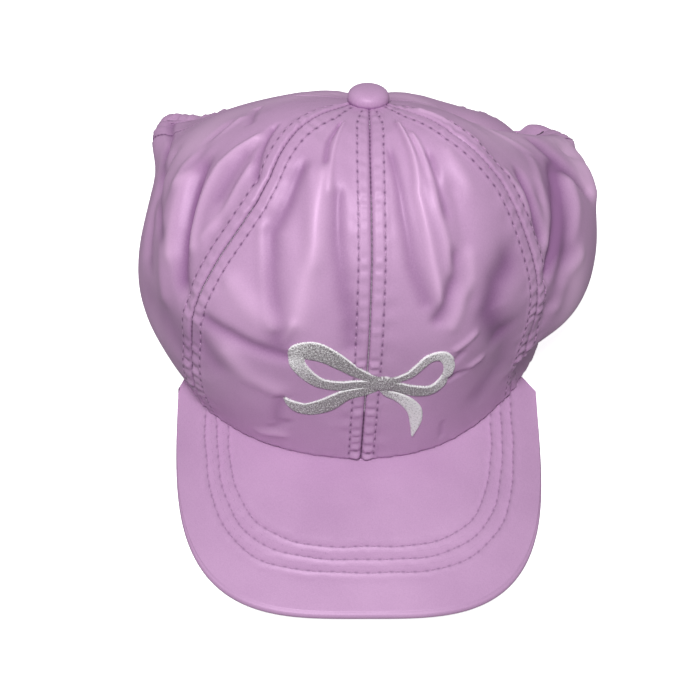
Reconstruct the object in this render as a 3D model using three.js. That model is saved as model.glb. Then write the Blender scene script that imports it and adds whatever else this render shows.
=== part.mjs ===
// A ponytail baseball cap of satin cloth, standing on its hem and its peak.
// Millimetres, +Z up, the front towards -Y. Angles go round the crown in degrees, from
// the front (0) towards +X. Shares go up the cloth, from the hem (0) to the button (1).
import * as THREE from "three";

// Crown
const HALF_WIDTH = 86; // half the width of the head at the hem
const CROWN_HEIGHT = 130; // what the sections' heights are shares of
const CLOTH_RUN = 190; // cloth from the hem to the button
const WALL = 1.2;
const GAP = 0.3; // clearance between neighbouring pieces
const HEM_LIFT = 15.5; // rise of the hem at the front, where the peak holds it up
const HEM_LIFT_POWER = 1.8;
const HEM_REST_ANGLE = 37; // degrees to each side of the back where the hem lies flat
const CREST_FULLNESS = 1.15; // how round the crown comes in to the button
const PANEL_TOP = 0.985; // share where the panels end, under the button

// Seams between the panels, in degrees
const BACK_SEAM = 115;
const LEFT_SEAM = -48;
const RIGHT_SEAM = 54;

// Button
const BUTTON_DROP = 11; // seat of the button below CROWN_HEIGHT
const BUTTON_BACK = 26; // seat of the button behind the hem's centre
const BUTTON_TILT = 34; // degrees that the button leans back
const BUTTON_RADIUS = 9;
const BUTTON_HEIGHT = 7.5;
// Half section from the base to the top, as [out, up] shares of the radius and the height
const BUTTON_PROFILE = [
  [0, 0],
  [0.88, 0],
  [0.99, 0.14],
  [1, 0.3],
  [0.93, 0.56],
  [0.75, 0.8],
  [0.45, 0.95],
  [0, 1],
];

// Peak
const PEAK_HALF_WIDTH = 82.5;
const PEAK_ROOT = 49; // from the hem's centre forward to the peak's widest line
const PEAK_REACH = 112; // from the widest line forward to the tip
const PEAK_SQUARENESS = 3.3; // exponent of the outline's superellipse
const PEAK_TIP_HEIGHT = 8.3; // top of the edge at the tip
const PEAK_CAMBER = 2.2; // exponent of the edge's fall from the tip to the sides
const PEAK_THICKNESS = 3.5;
const PEAK_ARCH = 1.2; // swell of the peak between hem and edge
const PEAK_END = 62; // degrees from the front to either end of the peak
const PEAK_ROOT_BEND = 50; // length of the side edge that climbs to the hem
const PEAK_BEND_POWER = 1.7;

// Sweatband inside the hem
const BAND_WIDTH = 27;
const BAND_THICKNESS = 1.5;
const BAND_CLEARANCE = 0.8;

// Ponytail opening in the back panels, and the gathered casing round it
const OPENING_HALF_ANGLE = 60; // degrees from the back to either corner
const OPENING_CORNER = 0.33; // share of the cloth at the corners
const OPENING_TOP = 0.72;
const OPENING_BOTTOM = 0.22;
const CASING_WIDTH = 8;
const CASING_THICKNESS = 3.4;
const CASING_CLEARANCE = 0.9;
const CASING_EDGE_FULLNESS = 0.3; // share of the thickness that is left at the casing's edges
const CASING_PUCKERS = 18;
const CASING_PUCKER_DEPTH = 0.35;

// Bow embroidered on the front
const BOW_SIZE = 66; // what the strands' lengths are shares of
const BOW_ACROSS = 6.7; // the knot's place beside the front seam
const BOW_UP = 47; // the knot's place above the hem
const BOW_RAISE = 1.1; // middle of a strand above the cloth
const BOW_EDGE_RAISE = 0.7;

// Places up the cloth where the sections are given. back is the share of BUTTON_BACK
// by which the section's centre lies behind the hem's centre.
const LEVELS = [
  { share: 0, out: "hemOut", back: 0 },
  { share: 0.18, out: "bellyOut", up: "bellyUp", back: 0.14 },
  { share: 0.39, out: "shoulderOut", up: "shoulderUp", back: 0.42 },
  { share: 0.7, out: "crestOut", up: "crestUp", back: 0.74 },
  { share: 1, back: 1 },
];

// Meridians of the crown, alike on both sides. Outs are shares of HALF_WIDTH, ups of CROWN_HEIGHT.
const SECTION_STEP = 30;
const SECTION_COLUMNS = [
  "hemOut",
  "bellyOut",
  "bellyUp",
  "shoulderOut",
  "shoulderUp",
  "crestOut",
  "crestUp",
];
const SECTIONS = [
  [1.05, 1.01, 0.385, 0.98, 0.65, 0.58, 0.965], // front
  [1.05, 1.06, 0.365, 1.04, 0.63, 0.56, 0.98],
  [1.015, 1.09, 0.32, 1.05, 0.62, 0.54, 0.96],
  [1.01, 1.18, 0.29, 1.09, 0.6, 0.52, 0.905], // side
  [1.03, 1.15, 0.35, 1.13, 0.49, 0.49, 0.815],
  [1.0, 1.04, 0.295, 0.88, 0.39, 0.44, 0.75],
  [0.93, 0.95, 0.245, 0.72, 0.42, 0.38, 0.72], // back
];

// Bulges, dents and folds: from one place on the cloth to another, in degrees and shares.
// Spreads and depths are shares of HALF_WIDTH, and a depth above zero stands out.
const FOLD_COLUMNS = ["deg", "share", "toDeg", "toShare", "spread", "depth"];
const FOLDS = [
  // Broad bulges and hollows
  [45, 0.15, 45, 0.15, 0.4, -0.055],
  [-45, 0.15, -45, 0.15, 0.4, 0.06],
  [45, 0.35, 45, 0.35, 0.4, -0.03],
  [-45, 0.35, -45, 0.35, 0.4, 0.04],
  [45, 0.65, 45, 0.65, 0.4, 0.065],
  [75, 0.15, 75, 0.15, 0.4, 0.055],
  [-75, 0.15, -75, 0.15, 0.4, 0.05],
  [75, 0.35, 75, 0.35, 0.4, 0.015],
  [-75, 0.35, -75, 0.35, 0.4, -0.025],
  [105, 0.15, 105, 0.15, 0.4, 0.03],
  [-105, 0.15, -105, 0.15, 0.4, -0.05],
  [105, 0.35, 105, 0.35, 0.4, 0.08],
  [-105, 0.35, -105, 0.35, 0.4, -0.035],
  [105, 0.65, 105, 0.65, 0.4, -0.065],
  // Corners of the ponytail opening, which the gathers push out
  [121, 0.33, 121, 0.33, 0.175, 0.1],
  [-121, 0.33, -121, 0.33, 0.175, 0.16],
  // Folds that run down from the corners over the side panels
  [-78, 0.55, -53, 0.36, 0.055, -0.022],
  [-83, 0.5, -62, 0.3, 0.055, 0.02],
  [-100, 0.46, -78, 0.3, 0.05, -0.02],
  [-66, 0.66, -55, 0.52, 0.05, -0.014],
  [71, 0.5, 59, 0.38, 0.05, -0.018],
  [86, 0.48, 66, 0.34, 0.055, -0.018],
  [59, 0.28, 55, 0.22, 0.055, -0.014],
  // Folds in the front panels
  [-30, 0.7, -18, 0.54, 0.05, 0.012],
  [25, 0.84, 20, 0.46, 0.05, 0.014],
  [33, 0.64, 30, 0.46, 0.055, -0.016],
];

// Strands of the bow: the middle line's points and the strand's width there, beside and
// above the knot, as shares of BOW_SIZE.
const STRAND_COLUMNS = ["across", "up", "width"];
const STRANDS = {
  bow_loop_left: [
    [-0.092, 0.064, 0.05],
    [-0.17, 0.112, 0.08],
    [-0.26, 0.19, 0.105],
    [-0.35, 0.262, 0.13],
    [-0.445, 0.305, 0.15],
    [-0.52, 0.292, 0.125],
    [-0.533, 0.22, 0.09],
    [-0.486, 0.12, 0.075],
    [-0.395, 0.02, 0.075],
    [-0.268, -0.016, 0.07],
    [-0.17, 0, 0.06],
    [-0.09, 0, 0.045],
  ],
  bow_tail_left: [
    [-0.085, -0.068, 0.035],
    [-0.23, -0.11, 0.095],
    [-0.352, -0.203, 0.13],
    [-0.476, -0.24, 0.11],
    [-0.556, -0.197, 0.07],
    [-0.6, -0.142, 0.012],
  ],
  bow_loop_right: [
    [0.09, 0.036, 0.035],
    [0.164, 0.083, 0.05],
    [0.217, 0.152, 0.055],
    [0.279, 0.226, 0.07],
    [0.353, 0.235, 0.08],
    [0.403, 0.16, 0.07],
    [0.408, 0.053, 0.065],
    [0.368, -0.05, 0.07],
    [0.306, -0.1, 0.085],
    [0.205, -0.085, 0.09],
    [0.108, -0.042, 0.065],
  ],
  bow_tail_right: [
    [0.02, -0.09, 0.03],
    [0.1, -0.132, 0.055],
    [0.17, -0.2, 0.075],
    [0.217, -0.28, 0.08],
    [0.232, -0.386, 0.07],
    [0.215, -0.515, 0.01],
  ],
  bow_knot: [
    [-0.078, 0, 0.025],
    [-0.05, 0, 0.105],
    [0, 0.004, 0.13],
    [0.05, 0, 0.105],
    [0.078, 0, 0.025],
  ],
};

// Fineness of the meshes
const LOWER_ROWS = 5; // rows of cells from the hem to the opening's corners
const UPPER_ROWS = 11; // rows from there to the button
const UPPER_SPREAD = 1.3; // above 1 these rows lie closer near the corners
const FRONT_CELL = 4; // degrees across a cell of a front panel
const SIDE_CELL = 3.4;
const OPENING_STEPS = 12; // cells along a quarter of the opening's rim
const CORNER_COLUMNS = 2; // cells between a back seam and the opening's corner
const BAND_STEPS = 72;
const BAND_ROWS = 3;
const CASING_STEPS = 72;
const CASING_CELLS = 3;
const PEAK_STEPS = 28;
const PEAK_ROWS = 8;
const STRAND_STEP = 2.6; // millimetres along a strand
const BUTTON_SIDES = 20;
const SLOPE_DEG = 0.5; // steps that the surface's slope is measured over
const SLOPE_SHARE = 0.004;

const { clamp, lerp, degToRad, radToDeg, euclideanModulo } = THREE.MathUtils;
const BACK = 180;
const TURN = 360;
const named = (columns, rows) =>
  rows.map((row) => Object.fromEntries(columns.map((name, i) => [name, row[i]])));
const meridians = named(SECTION_COLUMNS, SECTIONS);
const folds = named(FOLD_COLUMNS, FOLDS);

// A column of the sections table at an angle: a closed cubic through the meridians.
function around(column, deg) {
  const half = meridians.length - 1;
  const place = euclideanModulo(deg, TURN) / SECTION_STEP;
  const first = Math.floor(place);
  const f = place - first;
  const value = (i) => {
    const k = euclideanModulo(i, 2 * half);
    return meridians[k > half ? 2 * half - k : k][column];
  };
  const [a, b, c, d] = [-1, 0, 1, 2].map((i) => value(first + i));
  return b + 0.5 * f * (c - a + f * (2 * a - 5 * b + 4 * c - d + f * (3 * (b - c) + d - a)));
}

// A smooth curve through one value per level, with the slope at the last one given.
function throughLevels(values, share, lastSlope) {
  const at = LEVELS.map((level) => level.share);
  const last = values.length - 1;
  const rise = (i) => (values[i + 1] - values[i]) / (at[i + 1] - at[i]);
  const slope = (i) => {
    if (i === 0) return rise(0);
    if (i === last) return lastSlope ?? rise(last - 1);
    const before = at[i] - at[i - 1];
    const after = at[i + 1] - at[i];
    return (rise(i - 1) * after + rise(i) * before) / (before + after);
  };
  let i = 0;
  while (i < last - 1 && share >= at[i + 1]) i += 1;
  const span = at[i + 1] - at[i];
  const f = (share - at[i]) / span;
  return (
    (1 + 2 * f) * (1 - f) ** 2 * values[i] +
    f * (1 - f) ** 2 * slope(i) * span +
    f * f * (3 - 2 * f) * values[i + 1] +
    f * f * (f - 1) * slope(i + 1) * span
  );
}

// Height of the hem: flat at the back, lifted by the peak at the front.
function hemHeight(deg) {
  const rest = Math.cos(degToRad(HEM_REST_ANGLE));
  const lift = clamp((Math.cos(degToRad(deg)) + rest) / (1 + rest), 0, 1);
  return HEM_LIFT * lift ** HEM_LIFT_POWER;
}

// The crown without its folds.
function formPoint(deg, share) {
  const turn = degToRad(deg);
  const outs = LEVELS.map((level) => (level.out ? around(level.out, deg) * HALF_WIDTH : 0));
  const ups = LEVELS.map((level) => (level.up ? around(level.up, deg) * CROWN_HEIGHT : 0));
  const backs = LEVELS.map((level) => level.back * BUTTON_BACK);
  const [crest, top] = LEVELS.slice(-2);
  ups[0] = hemHeight(deg);
  ups[ups.length - 1] = CROWN_HEIGHT - BUTTON_DROP;
  const inward = (-outs[outs.length - 2] / (top.share - crest.share)) * CREST_FULLNESS;
  const climb = inward * Math.cos(turn) * Math.tan(degToRad(BUTTON_TILT));
  const out = throughLevels(outs, share, inward);
  return new THREE.Vector3(
    out * Math.sin(turn),
    throughLevels(backs, share) - out * Math.cos(turn),
    throughLevels(ups, share, climb),
  );
}

// Outward normal of a surface given by angle and share.
function normalOf(surface, deg, share) {
  const at = clamp(share, 0, 1 - 2 * SLOPE_SHARE);
  const across = surface(deg + SLOPE_DEG, at).sub(surface(deg - SLOPE_DEG, at));
  const up = surface(deg, at + SLOPE_SHARE).sub(surface(deg, Math.max(at - SLOPE_SHARE, 0)));
  return across.cross(up).normalize();
}

// How far the folds push a place of the cloth out, each one falling off as a bell.
function foldDepth(deg, share) {
  const arc = degToRad(1) * HALF_WIDTH;
  let depth = 0;
  for (const fold of folds) {
    const x = (euclideanModulo(deg - fold.deg + BACK, TURN) - BACK) * arc;
    const y = (share - fold.share) * CLOTH_RUN;
    const runX = (fold.toDeg - fold.deg) * arc;
    const runY = (fold.toShare - fold.share) * CLOTH_RUN;
    const length = runX * runX + runY * runY;
    const along = length > 0 ? clamp((x * runX + y * runY) / length, 0, 1) : 0;
    const apart = (x - along * runX) ** 2 + (y - along * runY) ** 2;
    depth += fold.depth * HALF_WIDTH * Math.exp(-apart / (fold.spread * HALF_WIDTH) ** 2);
  }
  return depth;
}

// The outer face of the crown.
function crownPoint(deg, share) {
  return formPoint(deg, share).addScaledVector(normalOf(formPoint, deg, share), foldDepth(deg, share));
}

// A point raised off the crown's outer face, or sunk below it. The hem is cut level.
function raised(deg, share, height) {
  const turn = degToRad(deg);
  const level = new THREE.Vector3(Math.sin(turn), -Math.cos(turn), 0);
  const normal = share > 0 ? normalOf(crownPoint, deg, share) : level;
  return crownPoint(deg, share).addScaledVector(normal, height);
}

// Degrees that a length takes up on the crown at a place.
function degreesOf(length, deg, share) {
  const point = crownPoint(deg, share);
  const centre = throughLevels(LEVELS.map((level) => level.back * BUTTON_BACK), share);
  return radToDeg(length / Math.hypot(point.x, point.y - centre));
}

// A sheet of four-sided cells with an outer and an inner face. Bands of cells that meet
// share their vertices, and an edge that belongs to one cell alone is closed by a strip.
class Sheet {
  constructor(facesAt) {
    this.facesAt = facesAt; // (u, v) gives [outer point, inner point]
    this.numbers = new Map();
    this.points = [];
    this.cells = [];
  }

  vertex(u, v) {
    const key = `${u.toFixed(5)} ${v.toFixed(5)}`;
    if (!this.numbers.has(key)) {
      this.numbers.set(key, this.points.length);
      this.points.push(this.facesAt(u, v));
    }
    return this.numbers.get(key);
  }

  // columns × rows cells, whose corners lie where place(column, row) says
  addBand(columns, rows, place) {
    const corner = (column, row) => this.vertex(...place(column, row));
    for (let c = 0; c < columns; c += 1) {
      for (let r = 0; r < rows; r += 1) {
        this.cells.push([corner(c, r), corner(c + 1, r), corner(c + 1, r + 1), corner(c, r + 1)]);
      }
    }
    return this;
  }

  geometry() {
    const corners = [];
    const quad = (a, b, c, d) => corners.push(a, b, c, a, c, d);
    const edges = new Set();
    for (const cell of this.cells) {
      cell.forEach((from, i) => edges.add(`${from} ${cell[(i + 1) % 4]}`));
    }
    for (const cell of this.cells) {
      const [outer, inner] = [0, 1].map((face) => cell.map((number) => this.points[number][face]));
      quad(...outer);
      quad(...inner.reverse());
      cell.forEach((from, i) => {
        const to = cell[(i + 1) % 4];
        if (edges.has(`${to} ${from}`)) return;
        quad(this.points[to][0], this.points[from][0], this.points[from][1], this.points[to][1]);
      });
    }
    return new THREE.BufferGeometry().setFromPoints(facingOut(corners));
  }
}

// Triangles with their order turned round if they enclose a negative volume.
function facingOut(corners) {
  let volume = 0;
  for (let i = 0; i < corners.length; i += 3) {
    volume += corners[i].dot(corners[i + 1].clone().cross(corners[i + 2]));
  }
  if (volume > 0) return corners;
  const turned = [];
  for (let i = 0; i < corners.length; i += 3) turned.push(corners[i], corners[i + 2], corners[i + 1]);
  return turned;
}

// A panel of the crown between two seams, with half the gap left at either one.
function panelSheet(from, to) {
  const inset = (deg, share) => degreesOf(GAP / 2, deg, share);
  return new Sheet((deg, share) => {
    let at = deg;
    if (deg === from) at += inset(deg, share);
    if (deg === to) at -= inset(deg, share);
    return [raised(at, share, 0), raised(at, share, -WALL)];
  });
}

const lowerShare = (row, top) => (row / LOWER_ROWS) * top;
const upperShare = (row, bottom) => lerp(bottom, PANEL_TOP, (row / UPPER_ROWS) ** UPPER_SPREAD);

function closedPanel(from, to, cell) {
  const columns = Math.round((to - from) / cell);
  const degAt = (column) => lerp(from, to, column / columns);
  return panelSheet(from, to)
    .addBand(columns, LOWER_ROWS, (column, row) => [degAt(column), lowerShare(row, OPENING_CORNER)])
    .addBand(columns, UPPER_ROWS, (column, row) => [degAt(column), upperShare(row, OPENING_CORNER)])
    .geometry();
}

// A back panel: its cells stop at the rim of the opening, which is half an ellipse
// on the cloth, and meet between the rim's corner and the seam.
function backPanel(side) {
  const corner = BACK - OPENING_HALF_ANGLE;
  const columns = CORNER_COLUMNS + OPENING_STEPS;
  const rimAngle = (column) => (Math.max(column - CORNER_COLUMNS, 0) / OPENING_STEPS) * (Math.PI / 2);
  const degAt = (column) => {
    if (column <= CORNER_COLUMNS) return side * lerp(BACK_SEAM, corner, column / CORNER_COLUMNS);
    return side * (BACK - OPENING_HALF_ANGLE * Math.cos(rimAngle(column)));
  };
  const rimTop = (column) => lerp(OPENING_CORNER, OPENING_TOP, Math.sin(rimAngle(column)));
  const rimBottom = (column) => lerp(OPENING_CORNER, OPENING_BOTTOM, Math.sin(rimAngle(column)));
  const [from, to] = side > 0 ? [BACK_SEAM, degAt(columns)] : [degAt(columns), -BACK_SEAM];
  return panelSheet(from, to)
    .addBand(columns, LOWER_ROWS, (column, row) => [degAt(column), lowerShare(row, rimBottom(column))])
    .addBand(columns, UPPER_ROWS, (column, row) => [degAt(column), upperShare(row, rimTop(column))])
    .geometry();
}

// The gathered tube of cloth that binds the opening: a flat oval section carried round the rim.
function casing() {
  const middle = -WALL / 2;
  const sheet = new Sheet((step, across) => {
    const turn = (step / CASING_STEPS) * 2 * Math.PI;
    const inset = CASING_CLEARANCE + across * CASING_WIDTH;
    const halfAngle = OPENING_HALF_ANGLE - degreesOf(inset, BACK - OPENING_HALF_ANGLE, OPENING_CORNER);
    const insetShare = inset / CLOTH_RUN;
    const limit = Math.sin(turn) > 0 ? OPENING_TOP - insetShare : OPENING_BOTTOM + insetShare;
    const deg = BACK + halfAngle * Math.cos(turn);
    const share = lerp(OPENING_CORNER, limit, Math.abs(Math.sin(turn)));
    const pucker = CASING_PUCKER_DEPTH * Math.cos(CASING_PUCKERS * turn);
    const swell = Math.sin(Math.PI * across);
    const half = (CASING_THICKNESS / 2) * lerp(CASING_EDGE_FULLNESS, 1, swell) + pucker * swell;
    return [raised(deg, share, middle + half), raised(deg, share, middle - half)];
  });
  const place = (column, row) => [column % CASING_STEPS, row / CASING_CELLS];
  return sheet.addBand(CASING_STEPS, CASING_CELLS, place).geometry();
}

const bandDepth = WALL + BAND_CLEARANCE;

function sweatband() {
  const sheet = new Sheet((deg, share) => [
    raised(deg, share, -bandDepth),
    raised(deg, share, -bandDepth - BAND_THICKNESS),
  ]);
  const place = (column, row) => [
    ((column % BAND_STEPS) / BAND_STEPS) * TURN,
    (row / BAND_ROWS) * (BAND_WIDTH / CLOTH_RUN),
  ];
  return sheet.addBand(BAND_STEPS, BAND_ROWS, place).geometry();
}

// The peak: from under the hem forward to a superellipse whose sides lie on the surface.
function peak() {
  const hem = (deg, depth) => raised(deg, 0, -depth).add(new THREE.Vector3(0, 0, -GAP));
  const edge = (turn) => {
    const [sin, cos] = [Math.sin(turn), Math.cos(turn)];
    const radius =
      (Math.abs(sin / PEAK_HALF_WIDTH) ** PEAK_SQUARENESS + Math.abs(cos / PEAK_REACH) ** PEAK_SQUARENESS) **
      (-1 / PEAK_SQUARENESS);
    const [x, forward] = [radius * sin, radius * cos];
    const rootHeight = hemHeight(PEAK_END) - GAP;
    const camber = lerp(PEAK_TIP_HEIGHT, PEAK_THICKNESS, Math.abs(x / PEAK_HALF_WIDTH) ** PEAK_CAMBER);
    const bend = clamp(1 - forward / PEAK_ROOT_BEND, 0, 1) ** PEAK_BEND_POWER;
    return new THREE.Vector3(x, -PEAK_ROOT - forward, lerp(camber, rootHeight, bend));
  };
  const sheet = new Sheet((turn, row) => {
    const deg = turn * PEAK_END;
    const along = (row - 1) / (PEAK_ROWS - 1);
    const top =
      row === 0
        ? hem(deg, bandDepth + BAND_THICKNESS)
        : hem(deg, 0).lerp(edge(turn * (Math.PI / 2)), along).add(
            new THREE.Vector3(0, 0, PEAK_ARCH * Math.sin(Math.PI * along) * (1 - turn * turn)),
          );
    return [top, top.clone().add(new THREE.Vector3(0, 0, -PEAK_THICKNESS))];
  });
  const place = (column, row) => [(2 * column) / PEAK_STEPS - 1, row];
  return sheet.addBand(PEAK_STEPS, PEAK_ROWS, place).geometry();
}

// The covered button: a dome whose flat base stands just clear of the cloth under it.
function button() {
  const profile = BUTTON_PROFILE.map(
    ([out, up]) => new THREE.Vector2(out * BUTTON_RADIUS, up * BUTTON_HEIGHT),
  );
  const axis = new THREE.Vector3(0, 0, 1).applyEuler(new THREE.Euler(-degToRad(BUTTON_TILT), 0, 0));
  const seat = formPoint(0, 1);
  let highest = 0;
  for (let deg = 0; deg < TURN; deg += SECTION_STEP / 2) {
    for (let share = PANEL_TOP; share > LEVELS[3].share; share -= SLOPE_SHARE) {
      const from = crownPoint(deg, share).sub(seat);
      const up = from.dot(axis);
      if (from.lengthSq() - up * up < BUTTON_RADIUS ** 2) highest = Math.max(highest, up);
    }
  }
  const mesh = new THREE.LatheGeometry(profile, BUTTON_SIDES).rotateX(Math.PI / 2);
  return { mesh, seat: seat.addScaledVector(axis, highest + GAP) };
}

// A strand of the bow: a ribbon of satin stitch, thicker along its middle, that follows the cloth.
function strand(rows) {
  const points = named(STRAND_COLUMNS, rows).map(({ across, up, width }) =>
    new THREE.Vector3(across, up, width).multiplyScalar(BOW_SIZE),
  );
  const line = new THREE.CatmullRomCurve3(points, false, "centripetal");
  const steps = Math.ceil(line.getLength() / STRAND_STEP);
  const sheet = new Sheet((along, side) => {
    const at = line.getPoint(along);
    const ahead = line.getTangent(along);
    const over = (side * at.z) / 2 / Math.hypot(ahead.x, ahead.y);
    const deg = radToDeg((BOW_ACROSS + at.x - ahead.y * over) / HALF_WIDTH);
    const share = (BOW_UP + at.y + ahead.x * over) / CLOTH_RUN;
    return [raised(deg, share, side === 0 ? BOW_RAISE : BOW_EDGE_RAISE), raised(deg, share, GAP)];
  });
  return sheet.addBand(steps, 2, (column, row) => [column / steps, row - 1]).geometry();
}

const satin = () => new THREE.MeshStandardMaterial({ color: 0xc598c4, roughness: 0.42, metalness: 0 });
const lining = () => new THREE.MeshStandardMaterial({ color: 0xb88bb8, roughness: 0.7, metalness: 0 });
const thread = () => new THREE.MeshStandardMaterial({ color: 0xb4a8b4, roughness: 0.4, metalness: 0.2 });

const cap = new THREE.Group();

function add(name, geometry, material) {
  const mesh = new THREE.Mesh(geometry, material);
  mesh.name = name;
  cap.add(mesh);
  return mesh;
}

add("panel_front_left", closedPanel(LEFT_SEAM, 0, FRONT_CELL), satin());
add("panel_front_right", closedPanel(0, RIGHT_SEAM, FRONT_CELL), satin());
add("panel_side_left", closedPanel(-BACK_SEAM, LEFT_SEAM, SIDE_CELL), satin());
add("panel_side_right", closedPanel(RIGHT_SEAM, BACK_SEAM, SIDE_CELL), satin());
add("panel_back_left", backPanel(-1), satin());
add("panel_back_right", backPanel(1), satin());
add("opening_casing", casing(), satin());
add("sweatband", sweatband(), lining());
add("peak", peak(), satin());
for (const [name, rows] of Object.entries(STRANDS)) add(name, strand(rows), thread());
const { mesh: dome, seat } = button();
const topButton = add("top_button", dome, satin());
topButton.position.copy(seat);
topButton.rotation.x = -degToRad(BUTTON_TILT);

// The origin is the middle of the underside of the cap's box.
const box = new THREE.Box3().setFromObject(cap, true);
cap.position.set(-(box.min.x + box.max.x) / 2, -(box.min.y + box.max.y) / 2, -box.min.z);

export default cap;
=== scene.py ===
import math
import bmesh
import bpy
import numpy as np
from mathutils import Matrix, Vector


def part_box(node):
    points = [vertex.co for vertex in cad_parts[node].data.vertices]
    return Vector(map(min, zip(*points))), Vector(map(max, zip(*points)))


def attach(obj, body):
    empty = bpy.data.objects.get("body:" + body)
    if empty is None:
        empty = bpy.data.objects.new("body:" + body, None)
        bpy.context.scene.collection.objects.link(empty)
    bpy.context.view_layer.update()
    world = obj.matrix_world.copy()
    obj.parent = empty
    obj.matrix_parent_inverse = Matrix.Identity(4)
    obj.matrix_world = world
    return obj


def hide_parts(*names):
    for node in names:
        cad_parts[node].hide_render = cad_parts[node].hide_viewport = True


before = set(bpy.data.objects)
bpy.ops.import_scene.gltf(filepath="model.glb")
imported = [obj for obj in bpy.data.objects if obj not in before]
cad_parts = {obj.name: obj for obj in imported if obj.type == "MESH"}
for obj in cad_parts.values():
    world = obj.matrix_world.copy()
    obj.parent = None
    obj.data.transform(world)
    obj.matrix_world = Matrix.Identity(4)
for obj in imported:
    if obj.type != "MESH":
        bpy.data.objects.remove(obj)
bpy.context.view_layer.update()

# ---- Camera, light and floor ----
# The camera looks down on the cap from 0.62 m away, 55 degrees above the floor.
# A soft light hangs above it, a little to the left and in front, in pale surroundings. The
# floor is plain and glows faintly, so that almost no shadow shows on it.

MM = 0.001
PEAK_TIP = 161.0  # millimetres from the hem's middle forward to the tip of the peak
peak_low, peak_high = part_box("peak")
# Lengths below are in millimetres, and places count from the middle of the hem, which lies here.
MIDDLE = np.array([(peak_low.x + peak_high.x) / 2 / MM, peak_low.y / MM + PEAK_TIP, 0.0])

CAMERA_ELEVATION, CAMERA_ROLL, CAMERA_TURN = 55, -4.77, -5.19  # degrees
CAMERA_AIM = Vector((-0.95, -42, 30))
CAMERA_DISTANCE = 620
SENSOR_WIDTH = 36
FOCAL_PIXELS, FRAME_PIXELS = 1379, 700
elevation, roll = math.radians(CAMERA_ELEVATION), math.radians(CAMERA_ROLL)
view_turn = Matrix.Rotation(math.radians(CAMERA_TURN), 3, "Z")
towards_eye = view_turn @ Vector((0, -math.cos(elevation), math.sin(elevation)))
level_right = view_turn @ Vector((1, 0, 0))
level_up = view_turn @ Vector((0, math.sin(elevation), math.cos(elevation)))
eye = view_turn @ CAMERA_AIM + towards_eye * CAMERA_DISTANCE + Vector(MIDDLE)
image_right = level_right * math.cos(roll) - level_up * math.sin(roll)
image_up = level_right * math.sin(roll) + level_up * math.cos(roll)
camera = bpy.data.objects.new("camera", bpy.data.cameras.new("camera"))
camera.data.sensor_width = SENSOR_WIDTH
camera.data.lens = SENSOR_WIDTH * FOCAL_PIXELS / FRAME_PIXELS
camera.data.clip_start = 0.01
facing = Matrix((image_right, image_up, towards_eye)).transposed().to_4x4()
camera.matrix_world = Matrix.Translation(eye * MM) @ facing
bpy.context.collection.objects.link(camera)
scene = bpy.context.scene
scene.camera = camera
scene.view_settings.view_transform = "Standard"


def area_light(name, place, aim, size, watts):
    """A square light at a place, turned to a point, in metres."""
    lamp = bpy.data.objects.new(name, bpy.data.lights.new(name, "AREA"))
    lamp.data.size = size
    lamp.data.energy = watts
    lamp.location = place
    lamp.rotation_euler = (Vector(aim) - Vector(place)).to_track_quat("-Z", "Y").to_euler()
    bpy.context.collection.objects.link(lamp)


area_light("key_light", place=(-0.16, -0.44, 1.26), aim=(0, -0.02, 0.05), size=0.3, watts=14.4)
world = bpy.data.worlds.new("surroundings")
scene.world = world
world.use_nodes = True
world.node_tree.nodes["Background"].inputs["Color"].default_value = (1, 1, 1, 1)
world.node_tree.nodes["Background"].inputs["Strength"].default_value = 0.28

FLOOR_REACH = 4
floor_mesh = bpy.data.meshes.new("floor")
floor_corners = [(FLOOR_REACH * x, FLOOR_REACH * y, 0) for x, y in ((-1, -1), (1, -1), (1, 1), (-1, 1))]
floor_mesh.from_pydata(floor_corners, [], [(0, 1, 2, 3)])
floor = bpy.data.objects.new("floor", floor_mesh)
bpy.context.collection.objects.link(floor)
floor_paint = bpy.data.materials.new("floor")
floor_paint.use_nodes = True
floor_inputs = floor_paint.node_tree.nodes["Principled BSDF"].inputs
floor_inputs["Base Color"].default_value = (0.93, 0.93, 0.93, 1)
floor_inputs["Roughness"].default_value = 0.9
floor_inputs["Emission Color"].default_value = (1, 1, 1, 1)
floor_inputs["Emission Strength"].default_value = 0.8
floor_mesh.materials.append(floor_paint)
floor.visible_diffuse = False
floor.visible_glossy = False

# A plain wall stands on the floor all round, so that a low view sees no edge of the floor.
# It neither lights nor shades the cap.
ROOM_RADIUS, ROOM_HEIGHT, ROOM_SIDES = 3.9, 5, 48
wall_angles = np.linspace(0, 2 * np.pi, ROOM_SIDES + 1)[:-1]
wall_ring = [(ROOM_RADIUS * math.cos(a), ROOM_RADIUS * math.sin(a)) for a in wall_angles]
wall_faces = [
    ((i + 1) % ROOM_SIDES, i, i + ROOM_SIDES, (i + 1) % ROOM_SIDES + ROOM_SIDES) for i in range(ROOM_SIDES)
]
wall_mesh = bpy.data.meshes.new("wall")
wall_mesh.from_pydata([(x, y, z) for z in (0, ROOM_HEIGHT) for x, y in wall_ring], [], wall_faces)
wall_mesh.materials.append(floor_paint)
wall = bpy.data.objects.new("wall", wall_mesh)
bpy.context.collection.objects.link(wall)
wall.visible_diffuse = False
wall.visible_glossy = False
wall.visible_shadow = False

# ---- Crown panels ----
# Six panels of lilac satin, cut on the curve and sewn edge to edge. Each seam lies in a
# groove between its turned-in allowances. Topstitches hold them down along four seams.

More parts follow.
